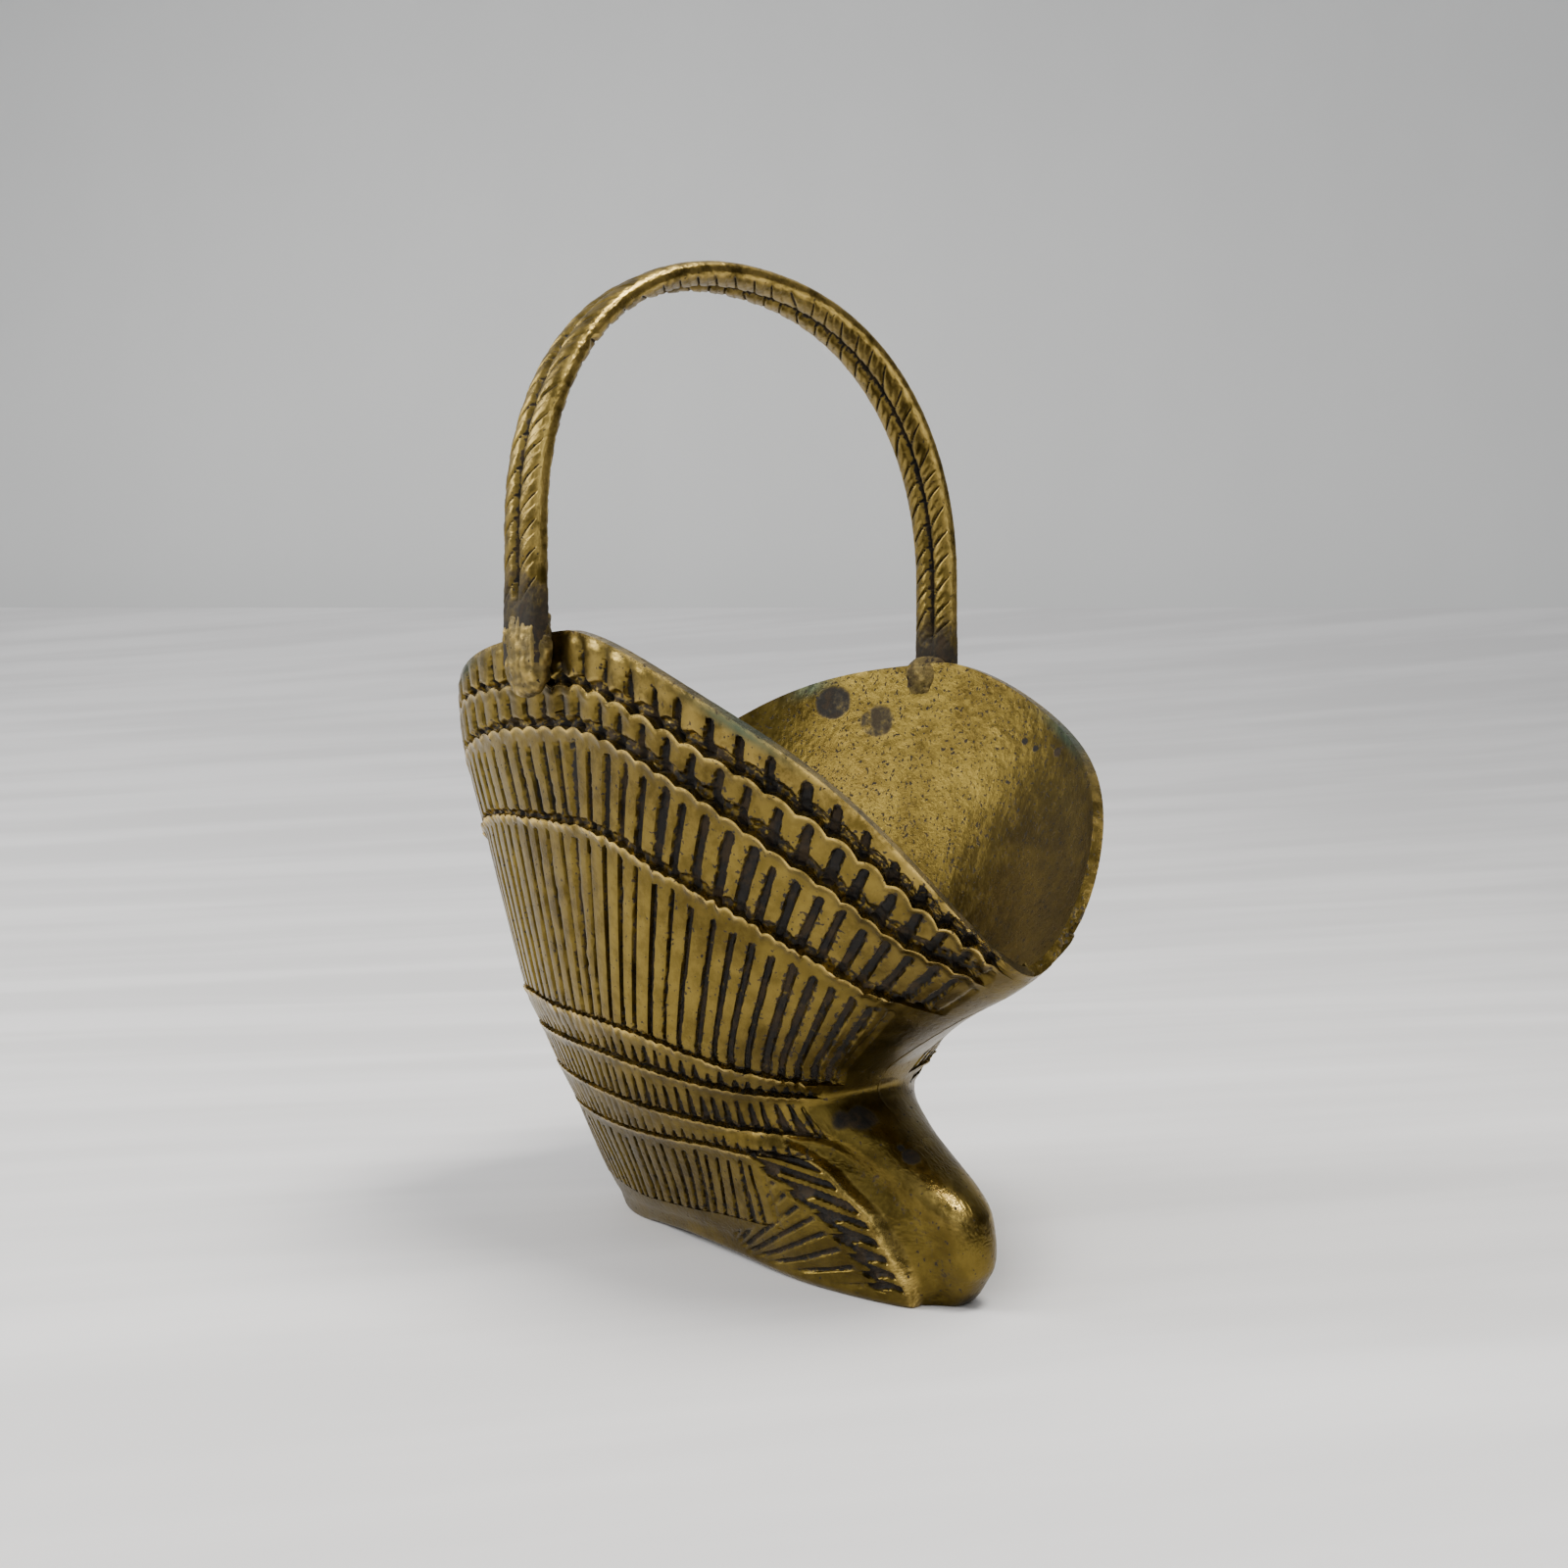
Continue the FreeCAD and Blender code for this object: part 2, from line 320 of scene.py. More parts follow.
@dataclass(frozen=True)
class Ornament:
    """All the cast bands of one half and the facet on the side of the toe.

    Attributes:
        hull: The smooth body under the relief.
        angles: Degrees from the front seam at which every border line is given.
        tiers: The bands, from the rim down.
        bottom: Line under the last band, as station coordinates at ``angles``.
        back_strip: Angle where the ornament ends beside the smooth back strip, degrees.
    """

    hull: Hull = field(default_factory=Hull)
    angles: Tuple[float, ...] = (0, 9, 20, 45, 70, 95, 120, 180)
    tiers: Tuple[Tier, ...] = (
        Tier("rim_tier", (0, 0, 0, 0, 0, 0, 0, 0),
             34, 0.30, (0.75, 1.35), 1.3, 0.0, 1.2, 2.1, 0.0, 34, 5, 34, 1.0,
             swell=1.0, rubbed=0.30),
        Tier("second_tier", (.72, .78, 1.2, 1.3, 1.3, 1.05, .78, .8),
             36, 0.24, (0.75, 1.35), 1.1, 0.6, 1.2, 2.2, 1.1, 36, 7, 34, 1.0,
             swell=1.0),
        Tier("third_tier", (1.7, 1.8, 2.22, 2.3, 2.15, 1.9, 1.8, 1.8),
             42, 0.22, (0.85, 1.0), 1.0, 0.6, 0.9, 1.6, 0.8, 42, 7, 44, 0.90),
        Tier("long_tier", (2.85, 2.95, 3.1, 3.12, 3.1, 2.95, 2.8, 2.8),
             44, 0.07, (0.62, 0.80), 0.95, 0.55, 0.7, 0.9, 0.45, 66, 15, 90, 0.74,
             beaded=True),
        Tier("tick_tier", (5.0, 5.0, 5.0, 4.8, 4.2, 4.0, 3.85, 3.8),
             54, 0.50, (0.15, 0.90), 0.80, 0.38, 0.8, 1.0, 0.3, 74, 22, 30, 0.80,
             beaded=True),
        Tier("comb_tier", (5.8, 5.8, 5.8, 5.65, 5.42, 5.2, 5.0, 4.9),
             54, 0.28, (0.25, 0.75), 0.70, 0.32, 0.8, 0.9, 0.3, 64, 26, 34, 0.75),
        Tier("nick_tier", (7.0, 7.0, 7.0, 6.85, 6.5, 6.2, 5.95, 5.9),
             54, 0.60, (0.20, 0.60), 0.55, 0.28, 0.6, 0.8, 0.25, 54, 31, 24, 0.75,
             meets_toe=True),
        Tier("heel_tier", (7.35, 7.35, 7.35, 7.28, 7.18, 7.1, 6.95, 6.9),
             46, 0.14, (0.38, 0.60), 0.60, 0.25, 0.2, 0.3, 0.25, 46, 43, 80, 0.65,
             meets_toe=True),
    )
    bottom: Tuple[float, ...] = (8.4, 8.4, 8.4, 8.45, 8.6, 8.65, 8.5, 8.5)
    back_strip: float = 173.0

    def border(self, index: int, turn: Array) -> Array:
        """Station coordinate of a border line.

        Args:
            index: 0 for the rim, ``len(tiers)`` for the line under the last band.
            turn: Angles in radians.

        Returns:
            Station coordinates, same shape as ``turn``.
        """
        knots = self.bottom if index == len(self.tiers) else self.tiers[index].top
        fine = np.linspace(0, 180, 181)
        line = np.interp(fine, self.angles, knots)
        kernel = np.hanning(15)
        padded = np.pad(line, 7, mode="edge")
        return np.interp(np.degrees(turn), fine, np.convolve(padded, kernel / kernel.sum(), "valid"))

    def arc(self, turn: Array, s: float) -> Array:
        """Share of the way round a loop, by length.

        Args:
            turn: Angles in radians.
            s: Station coordinate of the loop.

        Returns:
            0 at the front seam to 1 at the back seam.
        """
        fine = np.linspace(0, math.pi, 721)
        loop = self.hull.points(fine, np.full(fine.shape, s))
        length = np.concatenate([[0.0], np.cumsum(np.linalg.norm(np.diff(loop, axis=0), axis=1))])
        return np.interp(turn, fine, length / length[-1])

    def scalloped(self, index: int, turn: Array) -> Array:
        """Border line with its waves.

        Args:
            index: Number of the border line.
            turn: Angles in radians.

        Returns:
            Station coordinates.
        """
        base = self.border(index, turn)
        if index == 0 or index >= len(self.tiers):
            return base
        tier = self.tiers[index]
        share = self.arc(turn, float(index))
        wobble = GRAIN.layer(share * tier.waves * 0.5, np.full(share.shape, 3.7 * index))
        wave = np.abs(np.sin(math.pi * (share * tier.waves + 0.18 * wobble)))
        _, per_s, _ = self.hull.frame_at(turn, base)
        fade = self.fade(tier, turn)
        size = tier.scallop * (1.0 + 0.35 * wobble)
        return base - fade * size * wave / np.maximum(per_s, 2.0)

    def fade(self, tier: Tier, turn: Array) -> Array:
        """How strongly a band is present: 0 on the smooth front and back strips.

        Args:
            tier: The band.
            turn: Angles in radians.

        Returns:
            0..1, same shape as ``turn``.
        """
        degrees = np.degrees(turn)
        return (smooth_step(tier.front - 3.0, tier.front + 3.0, degrees)
                * (1.0 - smooth_step(self.back_strip - 4.0, self.back_strip + 2.0, degrees)))

    def band(self, index: int, turn: Array, first: bool = True) -> Sheet:
        """Relief of one band as a grid.

        The height is ``lip * bell(d_top) - recess * ramp(d_bottom) - depth * groove``, where a groove
        is a slot with a round top end that widens downwards.

        Args:
            index: Number of the band.
            turn: Column angles in radians.
            first: Whether the band opens its ring; later ones start just under the one above.

        Returns:
            The sampled sheet, rows from top to bottom.
        """
        tier = self.tiers[index]
        v = np.linspace(0.0 if first else 0.012, 1.0, tier.rows)
        w = (v - 0.09 * np.sin(2 * math.pi * v))[:, None]
        upper, lower = self.scalloped(index, turn), self.scalloped(index + 1, turn)
        s = upper[None] + (lower - upper)[None] * w
        t = np.broadcast_to(turn, s.shape)
        base = self.hull.points(t, s)
        normal, per_s, _ = self.hull.frame_at(t, s)
        d_top, d_bottom = (s - upper) * per_s, (lower - s) * per_s
        share = np.broadcast_to(self.arc(turn, index + 0.5), s.shape)
        loop = self.hull.points(turn, (upper + lower) / 2)
        steps = np.concatenate([[0], np.linalg.norm(np.diff(loop, axis=0), axis=1)])
        pitch = np.abs(np.gradient(np.cumsum(steps))) / np.gradient(share[0] * tier.count)
        slot = np.floor(share * tier.count)
        jitter = GRAIN.table[slot.astype(int) % 256, 11 * index + 5]
        stagger = GRAIN.table[slot.astype(int) % 256, 11 * index + 91]
        lean = 0.05 * GRAIN.layer(s * 3.0, share * tier.count)
        x = (share * tier.count - slot - 0.5 + 0.10 * jitter + lean) * pitch
        degrees = np.degrees(t)
        height = d_top + d_bottom
        begin = (tier.start * (1.0 + 0.25 * stagger)) * height
        grow = np.clip((d_top - begin) / np.maximum(height - begin, 0.1), 0, 1)
        half = (tier.widths[0] + (tier.widths[1] - tier.widths[0]) * grow) * (1 + 0.22 * jitter)
        half = half * (1.0 - 0.15 * smooth_step(62.0, 90.0, degrees))
        half = np.minimum(half, 0.40 * pitch)
        cap = np.clip(begin + tier.widths[0] - d_top, 0, None)
        away = np.hypot(x, cap) / np.maximum(half, 0.05)
        ragged = 0.22 * GRAIN.cloud(share * tier.count * 9.0, s * 24.0, 2)
        groove = 1.0 - smooth_step(0.75, 1.15, away + ragged)
        fade = np.broadcast_to(self.fade(tier, turn), s.shape)
        gap = tier.gap * (1.0 - 0.35 * smooth_step(65.0, 110.0, degrees))
        rubble = GRAIN.cloud(share * 240.0, s * 20.0, 3)
        recess = (1.0 - smooth_step(0.7 * gap, 1.1 * gap + 0.25, d_bottom + 1.4 * ragged)) * fade
        lump = GRAIN.layer(share * 150.0, 0.6 * s) if tier.beaded else 0.0
        lip = bell(d_top, 1.3) * fade * (1.0 + 0.9 * lump)
        ribs = 1.0 - (1.0 - np.clip(np.abs(x) / np.maximum(0.5 * pitch, 0.1), 0, 1)) ** 2
        ribs = ribs * smooth_step(0.0, 0.25, w)
        swell = (0.10 + 0.50 * smooth_step(55.0, 85.0, degrees)) * ribs * tier.swell
        grit = GRAIN.cloud(share * 420.0, s * 36.0, 3)
        deep = np.clip(groove * fade, 0, 1)
        relief = (tier.lip * lip + swell * fade - tier.recess * recess
                  - tier.depth * deep * (1 - 0.45 * recess)
                  + 0.03 * grit + 0.30 * np.maximum(0.5 * deep, recess) * rubble)
        grime_and_shade = np.clip(np.maximum(deep * tier.tarnish, recess * (0.52 + 0.35 * rubble)), 0, 1)
        close = np.maximum(1 - smooth_step(0.9, 2.4, away), 1 - smooth_step(gap, gap + 1.6, d_bottom))
        specks = close * fade * (1.0 - 0.75 * smooth_step(40.0, 80.0, degrees))
        wear = np.clip(bell(d_top - 0.15, 0.55) * fade * (0.75 + 0.5 * grit)
                       + tier.rubbed * ribs * fade * (1 - deep), 0, 1)
        if tier.beaded:
            bead = bell(d_top - 0.2, 0.75) * fade * (0.8 + 0.7 * lump)
            wear = np.maximum(wear, np.clip(bead, 0, 1))
        if index == 0:
            relief = relief + 0.15 * bell(d_top, 1.0)
            wear = np.maximum(wear, self.rim_wear(degrees) * bell(d_top, 1.1))
            grime_and_shade = np.maximum(grime_and_shade, (0.42 - 0.4 * self.rim_wear(degrees)) * bell(d_top, 1.2))
        if tier.meets_toe:
            more, dirt_and_shade, burnish_and_highlight = self.facet(t, s, base)
            relief, grime_and_shade, wear = relief + more, np.maximum(grime_and_shade, dirt_and_shade), np.maximum(wear, burnish_and_highlight)
        points = base + normal * relief[..., None]
        return Sheet(points, grime_and_shade, wear, self.stains(base), specks, self.verdigris(t, s))

    @staticmethod
    def rim_wear(degrees: Array) -> Array:
        """How brightly the rim is rubbed.

        Args:
            degrees: Angles from the front seam.

        Returns:
            0..1, same shape.
        """
        return 0.15 + 0.85 * bell(degrees - 34.0, 13.0)

    @staticmethod
    def verdigris(turn: Array, s: Array) -> Array:
        """Green film near the rim of each lobe.

        Args:
            turn: Angles in radians.
            s: Station coordinates.

        Returns:
            0..1 per point.
        """
        degrees = np.degrees(turn)
        patches = np.maximum(bell(degrees - 57.0, 8.0), 0.8 * bell(degrees - 117.0, 6.0))
        return patches * (1.0 - smooth_step(0.10, 0.45, s))

    def foot(self, turn: Array, rows: int = 135) -> Sheet:
        """Toe and smooth bottom under the last band.

        The side of the toe is a raised facet with a crisp ridge, a deep wavy divider with short
        hooked nicks above it and a fan of fine grooves below it.

        Args:
            turn: Column angles in radians.
            rows: Mesh rows.

        Returns:
            The sampled sheet.
        """
        upper = self.scalloped(len(self.tiers), turn)
        v = np.linspace(0.0, 1.0, rows)[:, None]
        s = upper[None] + (self.hull.last - upper)[None] * v
        t = np.broadcast_to(turn, s.shape)
        base = self.hull.points(t, s)
        normal, _, _ = self.hull.frame_at(t, s)
        relief, grime_and_shade, wear = self.facet(t, s, base)
        points = base + normal * relief[..., None]
        points[..., 2] = np.maximum(points[..., 2], 0.0)
        points[-1, :, 0] = 0.0
        zero = np.zeros(s.shape)
        return Sheet(points, grime_and_shade, wear, self.stains(base), 0.6 * grime_and_shade, zero)

    def facet(self, turn: Array, s: Array, base: Array) -> Tuple[Array, Array, Array]:
        """Relief of the side of the toe.

        Args:
            turn: Angles in radians.
            s: Station coordinates.
            base: Points of the smooth hull.

        Returns:
            Relief in millimetres, soiling with painted shade in the valley, and rubbed metal with
            painted highlights on the bulge.
        """
        degrees = np.degrees(turn)
        ridge = np.interp(s, (6.8, 7.05, 7.25, 7.45, 7.7, 7.95, 8.35, 8.85, 9.6, 10.2),
                          (37, 34, 31, 28.5, 27.5, 26, 25, 23.5, 20, 17))
        divide = np.interp(s, (7.1, 7.3, 7.55, 7.7, 7.95, 8.1, 8.4, 8.65, 8.95, 9.55),
                           (45, 43, 40, 37, 35.5, 33, 31.5, 30, 28.5, 27))
        on_toe = smooth_step(6.85, 7.15, s) * (1 - smooth_step(9.5, 10.0, s))
        plateau = smooth_step(ridge - 1.0, ridge + 1.3, degrees) * (1 - smooth_step(38.0, 60.0, degrees))
        valley = bell(degrees - (ridge - 5.5), 4.5)
        relief = on_toe * (1.8 * plateau - 1.5 * valley)
        run = (s - 7.22) / 0.29 + 0.11 * (degrees - divide)
        nick = np.abs(run - np.floor(run) - 0.5)
        inside = (smooth_step(ridge + 1.8, ridge + 2.6, degrees)
                  * (1 - smooth_step(divide, divide + 0.8, degrees)))
        span = smooth_step(7.15, 7.25, s) * (1 - smooth_step(9.3, 9.4, s))
        hook = (1 - smooth_step(0.20, 0.30, nick)) * inside * span
        edge = divide + 0.9 * np.sin(2 * math.pi * run)
        cut = (1 - smooth_step(0.6, 1.5, np.abs(degrees - edge))) * span
        angle = np.degrees(np.arctan2(base[..., 2] + 6.0, 5.0 - base[..., 1]))
        reach = np.hypot(base[..., 2] + 6.0, 5.0 - base[..., 1])
        ray = angle / 4.8
        line = np.abs(ray - np.floor(ray) - 0.5) * 4.8 * np.radians(1.0) * reach
        limit = 42.0 + 14.0 * np.clip((s - 8.3) / 0.6, 0.0, 1.0)
        below = (smooth_step(divide + 2.2, divide + 3.4, degrees)
                 * (1 - smooth_step(limit - 2.0, limit + 1.0, degrees))
                 * smooth_step(15.0, 18.0, reach) * (1 - smooth_step(9.2, 9.5, s))
                 * smooth_step(7.35, 7.45, s) * smooth_step(4.0, 8.0, angle))
        fan = (1 - smooth_step(0.25, 0.62, line)) * below
        deep = np.clip(np.maximum(np.maximum(hook, cut), 0.7 * fan), 0, 1)
        # Painted shade, with some dark stain: the concave valley between the ridge and the bulge is
        # darkened.
        deep = np.maximum(deep, 0.34 * on_toe * valley)
        grit = GRAIN.cloud(degrees * 3.0, s * 40.0, 3)
        relief = relief - 1.0 * np.maximum(hook, cut) - 0.5 * fan + (0.05 + 0.15 * deep) * grit
        wear = on_toe * bell(degrees - ridge - 0.8, 1.2) * (0.6 + 0.6 * grit)
        # Painted highlights, partly rubbed metal: two bright patches on top of the toe's bulge.
        wear = np.maximum(wear, 0.85 * bell(degrees - 9.0, 5.0) * bell(s - 7.7, 0.35))
        wear = np.maximum(wear, 0.55 * bell(degrees - 2.0, 4.0) * bell(s - 6.8, 0.25))
        return relief, deep, np.clip(wear, 0, 1)

    @staticmethod
    def stains(base: Array) -> Array:
        """Dark tarnish spots on the outside.

        Args:
            base: Points of the smooth hull, left half.

        Returns:
            0..1 per point.
        """
        spots = (((-7.0, -31.9, 31.2), 3.6), ((-4.4, -41.8, 25.4), 2.3), ((-9.5, -29.0, 30.0), 3.0),
                 ((-5.0, -40.0, 27.0), 1.3))
        total = np.zeros(base.shape[:-1])
        for centre, size in spots:
            distance = np.linalg.norm(base - np.array(centre), axis=-1)
            total = np.maximum(total, 1 - smooth_step(0.35, 1.2, distance / size))
        return total


class Builder:
    """Turns grids of points into Blender meshes."""

    @staticmethod
    def mesh(name: str, points: Array, faces: List[Array], facts: Dict[str, Array],
             ngons: Sequence[Sequence[int]] = ()) -> bpy.types.Object:
        """Makes one smooth-shaded mesh object.

        Args:
            name: Object name.
            points: Array (n, 3) in millimetres.
            faces: Arrays (m, 4) of vertex numbers.
            facts: Per-vertex values stored as float attributes.
            ngons: Extra faces with any number of corners.

        Returns:
            The new object, linked to the scene.
        """
        quads = np.concatenate(faces)
        corners = [quads.ravel()] + [np.array(n) for n in ngons]
        sizes = np.concatenate([np.full(len(quads), 4)] + [[len(n)] for n in ngons]).astype(np.int32)
        loops = np.concatenate(corners).astype(np.int32)
        mesh = bpy.data.meshes.new(name)
        mesh.vertices.add(len(points))
        mesh.vertices.foreach_set("co", (points * MM).astype(np.float32).ravel())
        mesh.loops.add(len(loops))
        mesh.loops.foreach_set("vertex_index", loops)
        mesh.polygons.add(len(sizes))
        starts = np.concatenate([[0], np.cumsum(sizes)[:-1]]).astype(np.int32)
        mesh.polygons.foreach_set("loop_start", starts)
        mesh.polygons.foreach_set("loop_total", sizes)
        for key, values in facts.items():
            layer = mesh.attributes.new(key, "FLOAT", "POINT")
            layer.data.foreach_set("value", values.astype(np.float32).ravel())
        mesh.update(calc_edges=True)
        mesh.validate()
        mesh.shade_smooth()
        mesh.set_sharp_from_angle(angle=math.radians(50))
        item = bpy.data.objects.new(name, mesh)
        bpy.context.scene.collection.objects.link(item)
        return item

    @staticmethod
    def grid_faces(rows: int, columns: int, wrap_rows: bool = False, wrap_columns: bool = False,
                   flip: bool = False) -> Array:
        """Quads of a grid stored row by row.

        Args:
            rows: Number of rows.
            columns: Number of columns.
            wrap_rows: Join the last row to the first.
            wrap_columns: Join the last column to the first.
            flip: Turn the faces round.

        Returns:
            Array (n, 4) of vertex numbers.
        """
        r = np.arange(rows if wrap_rows else rows - 1)[:, None]
        c = np.arange(columns if wrap_columns else columns - 1)[None]
        r2, c2 = (r + 1) % rows, (c + 1) % columns
        quad = np.stack([r * columns + c, r * columns + c2, r2 * columns + c2, r2 * columns + c], -1)
        quad = quad.reshape(-1, 4)
        return quad[:, ::-1] if flip else quad


@dataclass
class HalfShell:
    """One cast half of the pot: closed rings of ornamented outside and rough-cast inside.

    Attributes:
        side: Left or right.
        ornament: The relief.
    """

    side: Side
    ornament: Ornament

    def inside(self, turn: Array, s: Array) -> Sheet:
        """Inner face of the wall.

        Args:
            turn: Column angles in radians.
            s: Station coordinates, rows by columns.

        Returns:
            The sampled sheet.
        """
        t = np.broadcast_to(turn, s.shape)
        hull = self.ornament.hull
        base = hull.points(t, s)
        normal, _, _ = hull.frame_at(t, s)
        grit = GRAIN.cloud(t * 52.0, s * 11.0, 3)
        points = base - normal * (WALL + 0.05 * grit)[..., None]
        seam = (t <= 0) | (t >= math.pi - 1e-9) | (s >= hull.last)
        points[..., 0] = np.where(seam, 0.0, points[..., 0])
        zero = np.zeros(s.shape)
        rim = bell(s * 8.0, 0.9)
        # Mottled tone, plus painted shade: the inside darkens from station 1 to 5, deeper into the pot.
        shade = 0.20 + 0.16 * grit + 0.10 * smooth_step(1.0, 5.0, s)
        wear = 0.35 * rim * Ornament.rim_wear(np.degrees(t))
        return Sheet(points, np.clip(shade + 0.12 * rim, 0, 1), wear, self.spots(points), 0.35 + zero,
                     Ornament.verdigris(t, s))

    def spots(self, points: Array) -> Array:
        """Tarnish spots on the inside, at fixed places on the right lobe.

        Args:
            points: Points of the inner face, left half.

        Returns:
            0..1 per point.
        """
        if self.side is Side.LEFT:
            return np.zeros(points.shape[:-1])
        marks = (((-47.6, 30.9, 112.2), 4.4, 0.72), ((-48.6, 17.2, 107.4), 4.3, 0.55),
                 ((-43.5, -38.7, 99.0), 1.0, 1.0), ((-46.6, -27.8, 101.5), 0.8, 1.0),
                 ((-45.6, -31.5, 100.0), 0.8, 1.0))
        stretch = np.array([0.7, 0.75, 1.0])
        total = np.zeros(points.shape[:-1])
        for centre, size, strength in marks:
            distance = np.linalg.norm((points - np.array(centre)) * stretch, axis=-1)
            total = np.maximum(total, strength * (1 - smooth_step(0.75, 1.1, distance / size)))
        return total

    def ring(self, name: str, outer: Sheet, top: Array, low: Array, turn: Array,
             inner_rows: int) -> bpy.types.Object:
        """Closes an ornamented sheet with the inside of the wall behind it.

        Args:
            name: Object name.
            outer: The outside, rows from top to bottom.
            top: Station coordinates of the upper border.
            low: Station coordinates of the lower border.
            turn: Column angles in radians.
            inner_rows: Mesh rows of the inside.

        Returns:
            The new object.
        """
        v = np.linspace(1.0, 0.0, inner_rows)[:, None]
        inner = self.inside(turn, top[None] + (low - top)[None] * v)
        sheets = (outer, inner)
        points = np.concatenate([sheet.points for sheet in sheets])
        facts = {key: np.concatenate([getattr(sheet, key) for sheet in sheets])
                 for key in FACTS}
        if self.side is Side.RIGHT:
            facts["stain"][:outer.stain.shape[0]] = 0.0
            facts["wear"] *= 0.6
        points[:, 0, 0] = 0.0
        points[:, -1, 0] = 0.0
        rows, columns = points.shape[:2]
        points = points.reshape(-1, 3) * np.array([self.side.value, 1.0, 1.0])
        flip = self.side is Side.RIGHT
        faces = Builder.grid_faces(rows, columns, wrap_rows=True, flip=flip)
        ring = np.arange(rows) * columns
        caps = [ring.tolist(), (ring + columns - 1)[::-1].tolist()]
        if flip:
            caps = [cap[::-1] for cap in caps]
        return Builder.mesh(name, points, [faces], facts, caps)

    def build(self) -> List[bpy.types.Object]:
        """Builds the rings of this half.

        Returns:
            The new objects, rim first.
        """
        word = self.side.name.lower()
        orn = self.ornament
        turn = np.linspace(0.0, math.pi, FLUTE_COLUMNS)
        plan = (("upper_tiers", 0, 3, 44), ("long_flutes", 3, 4, 24), ("lower_tiers", 4, 7, 18),
                ("heel_tier", 7, 8, 16))
        made = []
        for name, first, stop, rows in plan:
            bands = [orn.band(k, turn, k == first) for k in range(first, stop)]
            outer = Sheet(*[np.concatenate([getattr(b, key) for b in bands])
                            for key in ("points", *FACTS)])
            made.append(self.ring(f"{word}_{name}", outer, orn.scalloped(first, turn),
                                  orn.scalloped(stop, turn), turn, rows))
        foot = orn.foot(turn)
        made.append(self.ring(f"{word}_toe_and_heel", foot, orn.scalloped(8, turn),
                              np.full(turn.shape, orn.hull.last), turn, 22))
        return made


